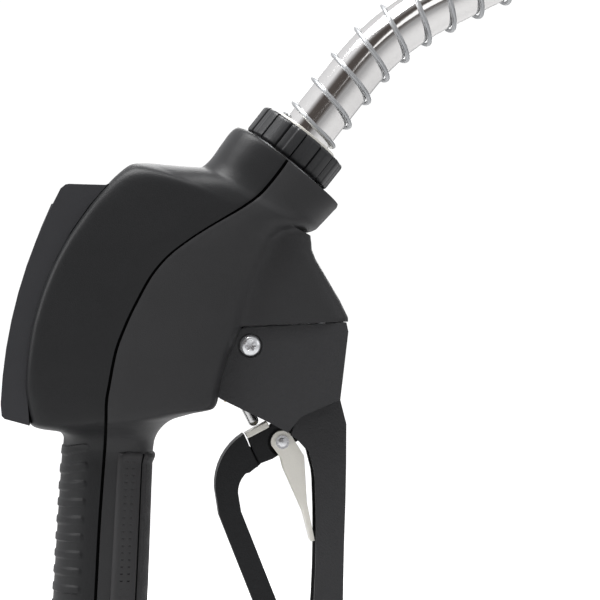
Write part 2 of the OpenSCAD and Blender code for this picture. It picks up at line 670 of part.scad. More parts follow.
module guard_rack() color("#9a9da1") slab(10) polygon(concat(
    [[94.5, 96], [93.85, 122]],
    [for (i = [0:4]) each [[92.1, 121.5 - 5 * i], [93.4, 117.5 - 5 * i]]]
));
module guard_screws() color("#c7c9cc") for (s = [-1, 1])
    translate([guard_screw[0], s * (hood_w / 2 - 1), guard_screw[1]]) rotate([-90 * s, 0, 0]) difference() {
        union() {
            rod(screw_r - slip, 9, -8.9);
            rod(4.3, 1.2);
            translate([0, 0, 1.2]) cylinder(r1 = 4.3, r2 = 3, h = 1);
        }
        rod(1.9, 3, 0.7, $fn = 6);
    }
module guard_end_screw() color("#c7c9cc") across(guard_end) {
    pin(2.05, bow_w + 0.4);
    for (s = [-1, 1]) translate([0, 0, s * (bow_w / 2 + 0.75)]) pin(3.9, 1.4);
}

body_casting();
rear_cover();
front_cover();
grip_pad();
panel_frame();
panel_face();
valve_cap();
cap_seal();
stem_packing();
packing_nut();
poppet_spring();
valve_stem();
main_poppet();
seat_disc();
latch_ring();
diaphragm();
diaphragm_cap();
diaphragm_spring();
diaphragm_screws();
latch_pin();
plunger();
latch_ball_1();
latch_ball_2();
latch_ball_3();
spout_nut();
spout_adapter();
adapter_seal();
spout_tube();
spout_ring();
spout_spring();
spout_tip();
vacuum_tube();
attitude_cage();
attitude_ball();
check_seat();
check_poppet();
check_spring();
lever_arm();
lever_head();
lever_saddle();
lever_pin();
arm_pin();
clip_rivet();
hold_open_clip();
clip_spring();
lever_guard();
guard_rack();
guard_screws();
guard_end_screw();
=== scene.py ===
# Fuel nozzle: covers, grip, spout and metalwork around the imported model
import json
import math
import bpy
import bmesh
import numpy as np
from mathutils import Matrix, Vector


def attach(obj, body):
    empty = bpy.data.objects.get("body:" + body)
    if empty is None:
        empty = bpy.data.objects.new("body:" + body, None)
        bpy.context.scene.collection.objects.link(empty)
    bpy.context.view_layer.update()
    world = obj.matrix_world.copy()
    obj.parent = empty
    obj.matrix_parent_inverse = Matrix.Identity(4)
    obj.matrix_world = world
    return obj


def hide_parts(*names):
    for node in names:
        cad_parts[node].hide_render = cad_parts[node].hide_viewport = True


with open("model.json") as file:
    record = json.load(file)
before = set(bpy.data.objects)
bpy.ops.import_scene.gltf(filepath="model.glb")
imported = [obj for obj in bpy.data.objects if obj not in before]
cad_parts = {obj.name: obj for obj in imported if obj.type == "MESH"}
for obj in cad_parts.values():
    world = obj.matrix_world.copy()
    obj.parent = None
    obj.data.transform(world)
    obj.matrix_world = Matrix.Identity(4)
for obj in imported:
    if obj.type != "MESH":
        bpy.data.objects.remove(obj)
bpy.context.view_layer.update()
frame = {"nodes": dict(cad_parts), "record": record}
mm = 0.001
nodes = frame["nodes"]


cameraSet = {"aim": (73.9, 0, 196.4), "distance": 1200, "azimuth": -4.3, "roll": 3.15, "lens": 180,
             "sensor": 36}


def makeCamera(spec):
    a, roll = math.radians(spec["azimuth"]), math.radians(spec["roll"])
    back = Vector((math.sin(a), -math.cos(a), 0))
    up = Vector((-math.sin(roll), 0, math.cos(roll)))
    right = up.cross(back).normalized()
    up = back.cross(right)
    camera = bpy.data.objects.new("camera", bpy.data.cameras.new("camera"))
    bpy.context.scene.collection.objects.link(camera)
    turn = Matrix((right, up, back)).transposed().to_4x4()
    place = (Vector(spec["aim"]) + back * spec["distance"]) * mm
    camera.matrix_world = Matrix.Translation(place) @ turn
    camera.data.lens = spec["lens"]
    camera.data.sensor_width = spec["sensor"]
    bpy.context.scene.camera = camera


lightSet = {
    "top": {"at": (-160, -120, 950), "size": 520, "power": 9.0},
    "left": {"at": (-760, -260, 520), "size": 460, "power": 3.2},
    "right": {"at": (850, -360, 460), "size": 420, "power": 0.5},
    "front": {"at": (160, -1250, 760), "size": 420, "power": 0.7},
    "behind": {"at": (250, 900, 600), "size": 600, "power": 4.0},
}


def makeLights(spec):
    for name, v in spec.items():
        data = bpy.data.lights.new(name + "Light", "AREA")
        data.size, data.energy = v["size"] * mm, v["power"]
        lamp = bpy.data.objects.new(name + "Light", data)
        bpy.context.scene.collection.objects.link(lamp)
        lamp.location = Vector(v["at"]) * mm
        aim = Vector(cameraSet["aim"]) * mm - lamp.location
        lamp.rotation_mode = "QUATERNION"
        lamp.rotation_quaternion = aim.to_track_quat("-Z", "Y")


# even white to look at, and a dimmer room with a dark side to reflect
roomSet = {"white": 1.05, "pale": (0.66, 0.66, 0.67, 1), "paleUpTo": 0.72, "dark": (0.07, 0.06, 0.055, 1),
           "darkFrom": 0.93, "darkSide": (-0.30, -0.92, 0.25), "leftStrength": 1.3, "rightStrength": 0.7,
           "leanOver": 0.8}


def makeWorld(spec):
    world = bpy.data.worlds.new("studioRoom")
    bpy.context.scene.world = world
    world.use_nodes = True
    tree = world.node_tree
    tree.nodes.clear()
    out = tree.nodes.new("ShaderNodeOutputWorld")
    mix = tree.nodes.new("ShaderNodeMixShader")
    seen = tree.nodes.new("ShaderNodeBackground")
    room = tree.nodes.new("ShaderNodeBackground")
    path = tree.nodes.new("ShaderNodeLightPath")
    where = tree.nodes.new("ShaderNodeTexCoord")
    split = tree.nodes.new("ShaderNodeSeparateXYZ")
    ramp = tree.nodes.new("ShaderNodeValToRGB")
    seen.inputs["Color"].default_value = (1, 1, 1, 1)
    seen.inputs["Strength"].default_value = spec["white"]
    first, second = ramp.color_ramp.elements
    first.position, first.color = spec["paleUpTo"], spec["pale"]
    second.position, second.color = spec["darkFrom"], spec["dark"]
    dark = tree.nodes.new("ShaderNodeVectorMath")
    dark.operation = "DOT_PRODUCT"
    dark.inputs[1].default_value = spec["darkSide"]
    tree.links.new(where.outputs["Generated"], split.inputs[0])
    tree.links.new(where.outputs["Generated"], dark.inputs[0])
    tree.links.new(dark.outputs["Value"], ramp.inputs["Fac"])
    tree.links.new(ramp.outputs["Color"], room.inputs["Color"])
    lean = tree.nodes.new("ShaderNodeMapRange")
    lean.inputs["From Min"].default_value = -spec["leanOver"]
    lean.inputs["From Max"].default_value = spec["leanOver"]
    lean.inputs["To Min"].default_value = spec["leftStrength"]
    lean.inputs["To Max"].default_value = spec["rightStrength"]
    tree.links.new(split.outputs["X"], lean.inputs["Value"])
    tree.links.new(lean.outputs["Result"], room.inputs["Strength"])
    tree.links.new(path.outputs["Is Camera Ray"], mix.inputs["Fac"])
    tree.links.new(room.outputs[0], mix.inputs[1])
    tree.links.new(seen.outputs[0], mix.inputs[2])
    tree.links.new(mix.outputs[0], out.inputs["Surface"])


floorSet = {"half": 6000, "color": (0.62, 0.62, 0.62, 1), "rough": 0.9, "glow": (0.8, 0.8, 0.8, 1)}


def makeFloor(spec):
    half = spec["half"] * mm
    mesh = bpy.data.meshes.new("studioFloor")
    corners = [(-half, -half, 0), (half, -half, 0), (half, half, 0), (-half, half, 0)]
    mesh.from_pydata(corners, [], [(0, 1, 2, 3)])
    floor = bpy.data.objects.new("studioFloor", mesh)
    bpy.context.scene.collection.objects.link(floor)
    material = bpy.data.materials.new("paleFloor")
    material.use_nodes = True
    shader = material.node_tree.nodes["Principled BSDF"]
    shader.inputs["Base Color"].default_value = spec["color"]
    shader.inputs["Roughness"].default_value = spec["rough"]
    shader.inputs["Emission Color"].default_value = spec["glow"]
    path = material.node_tree.nodes.new("ShaderNodeLightPath")
    material.node_tree.links.new(path.outputs["Is Camera Ray"], shader.inputs["Emission Strength"])
    mesh.materials.append(material)


makeCamera(cameraSet)
makeLights(lightSet)
makeWorld(roomSet)
makeFloor(floorSet)
bpy.context.scene.view_settings.view_transform = "Standard"
print("camera, floor and light ready")


# grain is the size of the moulded or worked texture and depth its height, in millimetres
finishSet = {
    "coverPlastic": {"color": (0.0125, 0.0128, 0.0138), "rough": 0.45, "grain": 0.45, "depth": 0.06,
                     "mottle": 0.16, "shine": 0.3},
    # the front cover's copy of the cover plastic, with a lighter colour painted in as light falling on the
    # front cover
    "frontPlasticPaintedLight": {"color": (0.027, 0.027, 0.0283), "rough": 0.45, "grain": 0.45, "depth": 0.06,
                     "mottle": 0.16, "shine": 0.3},
    "leverPlastic": {"color": (0.0075, 0.0080, 0.0092), "rough": 0.48, "grain": 0.6, "depth": 0.12,
                     "mottle": 0.16, "shine": 0.3},
    "guardPlastic": {"color": (0.0285, 0.0287, 0.0305), "rough": 0.50, "grain": 0.75, "depth": 0.22,
                     "mottle": 0.18, "shine": 0.34},
    "framePlastic": {"color": (0.030, 0.0305, 0.0335), "rough": 0.38, "grain": 0.40, "depth": 0.03,
                     "mottle": 0.08, "shine": 0.36},
    "panelSheet": {"color": (0.030, 0.031, 0.033), "rough": 0.35, "grain": 0.30, "depth": 0.02,
                   "mottle": 0.06, "shine": 0.4},
    "gripRubber": {"color": (0.036, 0.0355, 0.037), "rough": 0.55, "grain": 0.35, "depth": 0.06,
                   "mottle": 0.12, "shine": 0.3},
    "nutNylon": {"color": (0.024, 0.0245, 0.026), "rough": 0.34, "grain": 0.50, "depth": 0.03,
                 "mottle": 0.10, "shine": 0.4},
    "sealRubber": {"color": (0.012, 0.012, 0.012), "rough": 0.6, "grain": 0.4, "depth": 0.03,
                   "mottle": 0.1},
    "acetal": {"color": (0.66, 0.62, 0.53), "rough": 0.42, "grain": 0.4, "depth": 0.015, "mottle": 0.06},
    # a flat near-black with little shine: painted shade for the seam groove and the grip's groove and slots
    "paintedShadeBlack": {"color": (0.002, 0.002, 0.002), "rough": 0.9, "grain": 0.5, "depth": 0.02,
                      "mottle": 0.1, "shine": 0.05},
    "castAlloy": {"color": (0.60, 0.61, 0.62), "rough": 0.38, "grain": 0.7, "depth": 0.08,
                  "mottle": 0.12, "metal": 1},
    "brass": {"color": (0.62, 0.47, 0.22), "rough": 0.28, "grain": 0.8, "depth": 0.02,
              "mottle": 0.1, "metal": 1},
    "springWire": {"color": (0.42, 0.43, 0.44), "rough": 0.32, "grain": 0.5, "depth": 0.02,
                   "mottle": 0.12, "metal": 0.7},
    "groundSteel": {"color": (0.62, 0.62, 0.62), "rough": 0.25, "grain": 0.5, "depth": 0.015,
                    "mottle": 0.08, "metal": 1},
    "zincPlate": {"color": (0.80, 0.81, 0.83), "rough": 0.22, "grain": 0.6, "depth": 0.03,
                  "mottle": 0.12, "metal": 0.75},
    "polishedSpout": {"color": (0.84, 0.83, 0.82), "rough": 0.11, "grain": 1.6, "depth": 0.01,
                      "mottle": 0.07, "metal": 1},
    "nickelClip": {"color": (0.93, 0.91, 0.84), "rough": 0.36, "grain": 0.5, "depth": 0.02,
                   "mottle": 0.07, "metal": 0.45},
}
fineShare = 0.55                      # how much of the colour change comes from the grain
roughSpread = 0.05
finishes = {}


def makeFinish(name, spec):
    material = bpy.data.materials.new(name)
    material.use_nodes = True
    tree = material.node_tree
    shader = tree.nodes["Principled BSDF"]
    shader.inputs["Metallic"].default_value = spec.get("metal", 0)
    shader.inputs["Specular IOR Level"].default_value = spec.get("shine", 0.5)
    where = tree.nodes.new("ShaderNodeTexCoord")
    fine = tree.nodes.new("ShaderNodeTexNoise")
    fine.inputs["Scale"].default_value = 1000 / spec["grain"]
    fine.inputs["Detail"].default_value = 2
    broad = tree.nodes.new("ShaderNodeTexNoise")
    broad.inputs["Scale"].default_value = 55
    broad.inputs["Detail"].default_value = 4
    bump = tree.nodes.new("ShaderNodeBump")
    bump.inputs["Distance"].default_value = spec["depth"] * mm
    bump.inputs["Strength"].default_value = 1
    for noise in (fine, broad):
        tree.links.new(where.outputs["Object"], noise.inputs["Vector"])
    tree.links.new(fine.outputs["Fac"], bump.inputs["Height"])
    tree.links.new(bump.outputs["Normal"], shader.inputs["Normal"])
    tone = tree.nodes.new("ShaderNodeMix")
    tone.data_type = "RGBA"
    spread = spec["mottle"]
    tone.inputs[6].default_value = [c * (1 - spread) for c in spec["color"]] + [1]
    tone.inputs[7].default_value = [c * (1 + spread) for c in spec["color"]] + [1]
    both = tree.nodes.new("ShaderNodeMath")
    both.operation = "MULTIPLY_ADD"
    both.inputs[1].default_value = fineShare
    tree.links.new(fine.outputs["Fac"], both.inputs[0])
    half = tree.nodes.new("ShaderNodeMath")
    half.operation = "MULTIPLY"
    half.inputs[1].default_value = 1 - fineShare
    tree.links.new(broad.outputs["Fac"], half.inputs[0])
    tree.links.new(half.outputs[0], both.inputs[2])
    tree.links.new(both.outputs[0], tone.inputs[0])
    tree.links.new(tone.outputs[2], shader.inputs["Base Color"])
    vary = tree.nodes.new("ShaderNodeMapRange")
    vary.inputs["To Min"].default_value = spec["rough"] - roughSpread
    vary.inputs["To Max"].default_value = spec["rough"] + roughSpread
    tree.links.new(broad.outputs["Fac"], vary.inputs["Value"])
    tree.links.new(vary.outputs["Result"], shader.inputs["Roughness"])
    return material


for finishName, finishSpec in finishSet.items():
    finishes[finishName] = makeFinish(finishName, finishSpec)
print("finishes ready:", len(finishes))


def newPiece(name, points, faces, body, finish, stands=(), sharp=35):
    mesh = bpy.data.meshes.new(name)
    mesh.from_pydata([tuple(c * mm for c in p) for p in points], [], faces)
    mesh.materials.append(finishes[finish])
    piece = bpy.data.objects.new(name, mesh)
    bpy.context.scene.collection.objects.link(piece)
    settle(piece, sharp)
    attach(piece, body)
    if stands:
        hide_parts(*stands)
    return piece


def settle(piece, sharp):
    # one outward side, smooth faces, and sharp edges where they turn by more than an angle
    work = bmesh.new()
    work.from_mesh(piece.data)
    bmesh.ops.recalc_face_normals(work, faces=work.faces)
    limit = math.radians(sharp)
    for face in work.faces:
        face.smooth = True
    for edge in work.edges:
        if len(edge.link_faces) == 2:
            edge.smooth = edge.calc_face_angle(0) < limit
    work.to_mesh(piece.data)
    work.free()


def applyModifiers(piece, sharp):
    graph = bpy.context.evaluated_depsgraph_get()
    made = bpy.data.meshes.new_from_object(piece.evaluated_get(graph))
    piece.modifiers.clear()
    piece.data = made
    settle(piece, sharp)


def gridFaces(rows, columns, closeColumns=False):
    faces = []
    for i in range(rows - 1):
        low, high = i * columns, (i + 1) * columns
        for k in range(columns if closeColumns else columns - 1):
            after = (k + 1) % columns
            faces.append((low + k, low + after, high + after, high + k))
    return faces


def easeStep(a, b, x):
    t = np.clip((np.asarray(x, float) - a) / (b - a), 0, 1)
    return t * t * (3 - 2 * t)


def smoothTable(keys, values, at):
    # a curve through the rows of values that doesn't overshoot them
    keys, values, at = np.asarray(keys, float), np.asarray(values, float), np.asarray(at, float)
    gap = np.diff(keys)[:, None]
    rise = np.diff(values, axis=0) / gap
    slope = np.zeros_like(values)
    flat = rise[:-1] * rise[1:] <= 0
    total = rise[:-1] + rise[1:]
    slope[1:-1] = np.where(flat, 0, 2 * rise[:-1] * rise[1:] / np.where(total == 0, 1, total))
    slope[0], slope[-1] = rise[0], rise[-1]
    i = np.clip(np.searchsorted(keys, at, "right") - 1, 0, len(keys) - 2)
    h = (keys[i + 1] - keys[i])[:, None]
    t = ((at - keys[i])[:, None]) / h
    return ((2 * t**3 - 3 * t**2 + 1) * values[i] + (t**3 - 2 * t**2 + t) * h * slope[i]
            + (3 * t**2 - 2 * t**3) * values[i + 1] + (t**3 - t**2) * h * slope[i + 1])


# Up the handle: back edge, front edge, half-width, squareness behind and before the seam
coverSet = {
    "stations": [
        (-17.5, 15, 17.5, 15, 17.5, 2.2, 2.2),
        (-18, 72, 18, 72, 18, 2.2, 2.2),
        (-17.6, 128, 17.1, 129, 17.8, 2.2, 2.2),
        (-17.3, 133.6, 18.3, 132, 18.2, 2.2, 2.2),
        (-17.2, 136.6, 18.8, 137.4, 20.2, 2.5, 2.4),
        (-19, 139.2, 20.6, 141.8, 23.5, 3.2, 2.7),
        (-27.4, 140.5, 25, 146.2, 27.5, 6, 3),
        (-30.4, 142.2, 33, 149.4, 29.6, 9, 4),
        (-32.3, 150, 41.6, 152.4, 30.8, 13, 6),
        (-33.1, 158.5, 44, 164, 31.5, 22, 6),
        (-32.9, 168, 47, 175, 32, 24, 5.6),
        (-32.1, 177.6, 51.5, 185.2, 32, 24, 4.6),
        (-30, 188.6, 55, 196, 32, 24, 3.8),
        (-26.3, 201, 58, 205.5, 32, 24, 3.6),
        (-20.9, 213.5, 60.5, 213, 32, 24, 3.6),
        (-14.3, 225, 63, 219.5, 31.6, 22, 3.4),
        (-8, 234.2, 64.8, 221.4, 31.3, 18, 3.3),
        (-1.6, 241.8, 66.5, 222.4, 31, 13, 3.2),
        (4.2, 246.3, 68.5, 222.8, 30.8, 6, 3.1),
        (9.5, 247.2, 70.5, 223, 30.6, 3.4, 3),
        (22, 246.9, 75, 223.4, 30, 3, 2.8),
        (30.5, 246.8, 78.2, 224.6, 28.6, 3, 2.7),
        (34.2, 249.4, 80, 226.5, 27.8, 3, 2.6),
        (39.2, 256.8, 83, 230, 27, 3.3, 2.6),
        (43.0, 262.3, 85.3, 232.7, 26.4, 3.2, 2.5),
        (44.8, 263.5, 86.3, 233.8, 26.2, 3.1, 2.4),
        (46.4, 263.2, 86.7, 235.0, 25.9, 3, 2.4),
    ],
    "seam": [(-1.3, 0), (-1.3, 72), (-1.4, 100), (-0.9, 136), (-1.4, 152), (-0.6, 160.2), (1.1, 172.3),
             (4.2, 182.5), (8.8, 193.6), (13.5, 203), (19.5, 210.8), (27.1, 217.4), (33.6, 222.2),
             (40.2, 226.6), (47.9, 231.8), (53.7, 236.6), (59.3, 243.6), (64.5, 251.5), (70, 261)],
    "nose": [(48, 184.5), (92, 188.7), (91.8, 190.6), (88.1, 197.2), (77.7, 212.8), (75.9, 216.6),
             (75.5, 219.6), (75, 222.3), (56, 222.3)],
    "noseHalf": 22, "noseSquare": 9, "noseFoot": 186.8, "noseBlend": 22, "noseFrom": 100,
    "longFace": 9, "footReach": 5,
    "gap": 1.25, "wall": 2.2, "rim": 0.35, "collar": 138, "columns": 120,
    "gripStep": 0.42, "bodyStep": 1.0, "footStep": 0.4, "footRows": (180, 197),
    "hoodRoom": [(42.4, 153.2), (42.8, 159.4), (49.4, 181), (51, 183.4), (60, 185.4), (110, 190),
                 (110, 120), (30, 120), (34, 150)],
    "hoodHalf": 19.4,
    "pocket": {"edge": 73, "foot": 21.1, "top": 132.4, "depth": 1.7, "fade": 1.6, "endFade": 0.4},
}
# raised bars across the back of the grip, the highest ones slanted
gripPads = {"pitch": 7.0, "top": 135.6, "length": 3.4, "height": 0.5, "edge": 0.4, "count": 16,
            "from": 5.6, "slant": 2.2, "slantReach": 14, "cornerCut": 0.8, "cornerReach": 1.2}
bendAngle = 50                        # edges of shells sharper than this stay crisp


def splinePoints(points, per=12):
    t = np.arange(len(points), dtype=float)
    at = np.linspace(0, len(points) - 1, (len(points) - 1) * per + 1)
    return smoothTable(t, points, at)


def crossing(a, b, line):
    # where the line through a and b first meets a drawn line, as a length from a
    d = (b - a) / np.linalg.norm(b - a)
    n = np.array((-d[1], d[0]))
    side = (line - a) @ n
    hits = np.nonzero(side[:-1] * side[1:] <= 0)[0]
    found = []
    for i in hits:
        t = side[i] / (side[i] - side[i + 1]) if side[i] != side[i + 1] else 0
        found.append(((line[i] + t * (line[i + 1] - line[i])) - a) @ d)
    return found


def coverLevels(spec):
    rows = np.array(spec["stations"], float)
    steps = (np.hypot(*np.diff(rows[:, :2], axis=0).T) + np.hypot(*np.diff(rows[:, 2:4], axis=0).T)) / 2
    keys = np.concatenate(([0], np.cumsum(steps)))
    at = [0.0]
    for i, length in enumerate(steps):
        backEnd, frontEnd = rows[i + 1, 1], rows[i + 1, 3]
        step = spec["gripStep"] if backEnd < spec["collar"] - 1 else spec["bodyStep"]
        step = spec["footStep"] if spec["footRows"][0] < frontEnd < spec["footRows"][1] else step
        count = max(2, math.ceil(length / step))
        at += list(keys[i] + length * np.arange(1, count + 1) / count)
    table = smoothTable(keys, rows, at)
    seam = splinePoints(spec["seam"])
    nose = np.array(spec["nose"] + spec["nose"][:1], float)
    levels = []
    for row in table:
        a, b = row[0:2], row[2:4]
        d = (b - a) / np.linalg.norm(b - a)
        s = crossing(a, b, seam)[0]
        reach = [h - s for h in crossing(a, b, nose) if h - s > 0]
        levels.append({"at": a + s * d, "d": d, "back": s, "front": np.linalg.norm(b - a) - s,
                       "half": row[4], "squareBack": row[5], "squareFront": row[6],
                       "nose": max(reach) if reach else 0, "long": (a + s * d)[1]})
    return levels


def ovalRadius(angle, reach, half, power):
    c, s = np.abs(np.cos(angle)), np.abs(np.sin(angle))
    return ((c / reach) ** power + (s / half) ** power) ** (-1 / power)


def cornerAngles(t, reach, half, power):
    # more columns where the section turns its corners
    even = (math.pi / 2) * t
    c, s = np.abs(np.cos(even)), np.abs(np.sin(even))
    forwards = reach * np.where(c < 1e-6, 0, c) ** (2 / power)
    corner = np.sign(t) * np.arctan2(half * s ** (2 / power), forwards)
    return (even + corner) / 2


def padHeight(z, away, spec):
    total = np.zeros_like(away)
    for i in range(spec["count"]):
        top = spec["top"] - i * spec["pitch"]
        lean = spec["slant"] * max(0, 1 - i / 3) * easeStep(0, spec["slantReach"], away - spec["from"])
        below, above = top - lean - z, z - (top - lean - spec["length"])
        up = easeStep(0, spec["edge"], below) * easeStep(0, spec["edge"], above)
        near = np.clip(1 - np.minimum(below, above) / spec["cornerReach"], 0, 1)
        corner = spec["cornerCut"] * near
        total = np.maximum(total, up * easeStep(0, spec["edge"], away - spec["from"] - corner))
    return spec["height"] * total


def pocketDepth(turn, z, spec):
    # the grip pad is let into the front of the handle
    fade = spec["endFade"]
    ends = easeStep(spec["foot"], spec["foot"] + fade, z)
    ends = ends * (1 - easeStep(spec["top"] - fade, spec["top"], z))
    return spec["depth"] * ends * (1 - easeStep(spec["edge"] - spec["fade"], spec["edge"], turn))


def makeCover(name, spec, levels, forward):
    columns = spec["columns"]
    t = np.linspace(-1, 1, columns)
    rows = []
    for level in levels:
        side = 1 if forward else -1
        start = level["at"] + side * spec["gap"] / 2 * level["d"]
        reach = (level["front"] if forward else level["back"]) - spec["gap"] / 2
        power = level["squareFront"] if forward else level["squareBack"]
        angle = cornerAngles(t, reach, level["half"], power)
        angle = angle if forward else math.pi - angle
        r = ovalRadius(angle, reach, level["half"], power)
        onHandle = level["long"] < spec["collar"]
        if not forward and onHandle:
            away = level["half"] * (math.pi / 2) * (1 - np.abs(t))
            r = r + padHeight(level["at"][1], away, gripPads)
        if forward and level["nose"] > reach and level["long"] > spec["noseFrom"]:
            nose = ovalRadius(angle, level["nose"], spec["noseHalf"], spec["noseSquare"])
            k = spec["noseBlend"]
            r = (r**k + nose**k) ** (1 / k)
        x = start[0] + r * np.cos(angle) * level["d"][0]
        y = r * np.sin(angle)
        z = start[1] + r * np.cos(angle) * level["d"][1]
        if forward and onHandle:
            turn = np.degrees(np.arctan2(np.abs(y), x))
            sink = pocketDepth(turn, z, spec["pocket"]) / np.hypot(x, y)
            x, y = x * (1 - sink), y * (1 - sink)
        rows.append(np.stack((x, y, z), axis=1))
    points = np.concatenate(rows)
    faces = gridFaces(len(rows), columns)
    if forward:
        faces = [f for f in faces if keepFace(points[list(f)], spec)]
    # the front cover's lighter finish is painted light, over the same plastic as the rear cover
    finish, stands = ("frontPlasticPaintedLight", "front_cover") if forward else ("coverPlastic", "rear_cover")
    piece = newPiece(name, points, faces, "nozzle_body", finish, (stands,))
    shell = piece.modifiers.new("wall", "SOLIDIFY")
    shell.thickness, shell.offset = spec["wall"] * mm, -1
    rim = piece.modifiers.new("rim", "BEVEL")
    rim.limit_method, rim.angle_limit = "ANGLE", math.radians(60)
    rim.width, rim.segments = spec["rim"] * mm, 2
    applyModifiers(piece, bendAngle)


def inside(x, z, outline):
    odd = False
    for (x1, z1), (x2, z2) in zip(outline, outline[1:] + outline[:1]):
        if (z1 > z) != (z2 > z) and x < (x2 - x1) * (z - z1) / (z2 - z1) + x1:
            odd = not odd
    return odd


def keepFace(corners, spec):
    # open where the hood passes through, and under the nose
    x, y, z = corners.mean(axis=0)
    if abs(y) < spec["hoodHalf"] and inside(x, z, spec["hoodRoom"]):
        return False
    spread = np.linalg.norm(corners.max(axis=0) - corners.min(axis=0))
    return not (spread > spec["longFace"] and abs(z - spec["noseFoot"]) < spec["footReach"])


lipSet = {"inset": 1.5, "half": 3.2, "thick": 0.9, "crown": 0.25}


def makeSeamLip(spec, levels):
    # the tongue behind the seam that keeps light out
    for name, side in (("seamLipNear", -1), ("seamLipFar", 1)):
        rows = []
        for level in levels[::3] + levels[-1:]:
            y = side * (level["half"] - spec["inset"])
            for along in (-spec["half"], 0, spec["half"]):
                p = level["at"] + along * level["d"]
                rows.append((p[0], y - side * spec["crown"] * abs(along) / spec["half"], p[1]))
        # the strip's near-black finish is painted shade in the seam groove
        strip = newPiece(name, rows, gridFaces(len(rows) // 3, 3), "nozzle_body", "paintedShadeBlack")
        shell = strip.modifiers.new("wall", "SOLIDIFY")
        shell.thickness, shell.offset = spec["thick"] * mm, 0
        applyModifiers(strip, bendAngle)


levels = coverLevels(coverSet)
makeSeamLip(lipSet, levels)
makeCover("rearCover", coverSet, levels, False)
makeCover("frontCover", coverSet, levels, True)
print("covers ready, levels:", len(levels))


# widths round the pad are in degrees from its middle
gripSet = {"edge": 73, "foot": 21.3, "top": 132.6, "proud": 0.18, "wall": 1.2, "rows": 320, "columns": 220,
           "square": 2.15, "around": 18, "cornerRound": 3, "cornerCut": 0.7, "borderCut": 0.5, "droop": 0.3,
           "groove": (34.5, 44.5), "grooveDepth": 1.1, "dashes": ((62.4, 67), (53.2, 57.6)),
           "dashSoft": 0.6, "pitch": 2.8, "dashDeep": 0.3, "dashShallow": 0.04, "dashFrom": 80,
           "knurl": 33, "knurlPitch": 1.35, "knurlDepth": 0.22}


def between(low, high, soft, at):
    return easeStep(low - soft, low + soft, at) * (1 - easeStep(high - soft, high + soft, at))


def makeGripPad(spec):
    table = {level["long"]: level for level in levels if level["long"] < coverSet["collar"] + 2}
    heights = np.array(sorted(table))
    turn = np.radians(np.linspace(-spec["edge"], spec["edge"], spec["columns"]))
    degrees = np.abs(np.degrees(turn))
    rows = []
    heightsAt = np.linspace(spec["foot"], spec["top"], spec["rows"])
    for z in heightsAt:
        level = table[heights[min(len(heights) - 1, np.searchsorted(heights, z))]]
        front = level["at"][0] + level["front"]
        r = ovalRadius(turn, front, level["half"], spec["square"]) + spec["proud"]
        # the outline's round corners and its edge, pressed in
        border = spec["around"] * np.radians(spec["edge"] - degrees)
        end = min(z - spec["foot"], spec["top"] - z)
        far = spec["cornerRound"]
        corner = np.hypot(np.clip(far - border, 0, far), max(0, far - end))
        r = r - spec["cornerCut"] * easeStep(far - 0.7, far, corner)
        r = r - spec["borderCut"] * (1 - easeStep(0, 0.35, border))
        # the long groove, the two rows of slots and the diamond knurl in the middle
        low, high = spec["groove"]
        sides = easeStep(low - 0.8, low + 0.4, degrees) * (1 - easeStep(high - 0.4, high + 0.8, degrees))
        r = r - spec["grooveDepth"] * sides
        wave = (z / spec["pitch"]) % 1
        bar = easeStep(0.18, 0.28, wave) * (1 - easeStep(0.38, 0.5, wave))
        fade = spec["dashDeep"] * easeStep(60, 115, z) + spec["dashShallow"]
        for a, b in spec["dashes"]:
            r = r - fade * bar * between(a, b, spec["dashSoft"], degrees)
        around = np.cos(2 * np.pi * spec["around"] * turn / spec["knurlPitch"])
        knurl = around * np.cos(2 * np.pi * z / spec["knurlPitch"])
        middle = 1 - easeStep(spec["knurl"] - 0.8, spec["knurl"] + 0.4, degrees)
        r = r + spec["knurlDepth"] * knurl * middle
        droop = spec["droop"] * easeStep(0, 60, spec["edge"] - degrees)
        drop = droop * easeStep(spec["top"] - 6, spec["top"], z)
        rows.append(np.stack((r * np.cos(turn), r * np.sin(turn), z - drop), axis=1))
    points = np.concatenate(rows)
    pad = newPiece("gripPad", points, gridFaces(len(rows), spec["columns"]), "nozzle_body", "gripRubber",
                   ("grip_pad",))
    # the groove and the slots get the near-black finish as painted shade in their recesses
    pad.data.materials.append(finishes["paintedShadeBlack"])
    middles = np.degrees(np.abs(turn[:-1] + turn[1:]) / 2)
    low, high = spec["groove"]
    for i, face in enumerate(pad.data.polygons):
        row, column = divmod(i, spec["columns"] - 1)
        z, at = heightsAt[row], middles[column]
        onDash = z > spec["dashFrom"] and 0.24 < (z / spec["pitch"]) % 1 < 0.46
        slot = onDash and any(a < at < b for a, b in spec["dashes"])
        if spec["foot"] + 1 < z < spec["top"] - 0.6 and (low < at < high or slot):
            face.material_index = 1
    shell = pad.modifiers.new("wall", "SOLIDIFY")
    shell.thickness, shell.offset = spec["wall"] * mm, -1
    applyModifiers(pad, bendAngle)


makeGripPad(gripSet)
print("grip pad ready")


# lengths along the spout start at the top of the neck
spoutSet = {"neck": (64.7, 251.5), "lean": 35.2, "bendRadius": 100, "bendStart": 45.4, "bend": 25.2,
            "reach": 112, "tip": 5, "radius": 10.3, "wall": 1.5, "root": -15.8, "sides": 96}
arcLength = spoutSet["bendRadius"] * math.radians(spoutSet["bend"])
spoutLean = math.radians(spoutSet["lean"])


def leaned(u, w):
    return Vector((u * math.cos(spoutLean) + w * math.sin(spoutLean), 0,
                   w * math.cos(spoutLean) - u * math.sin(spoutLean)))


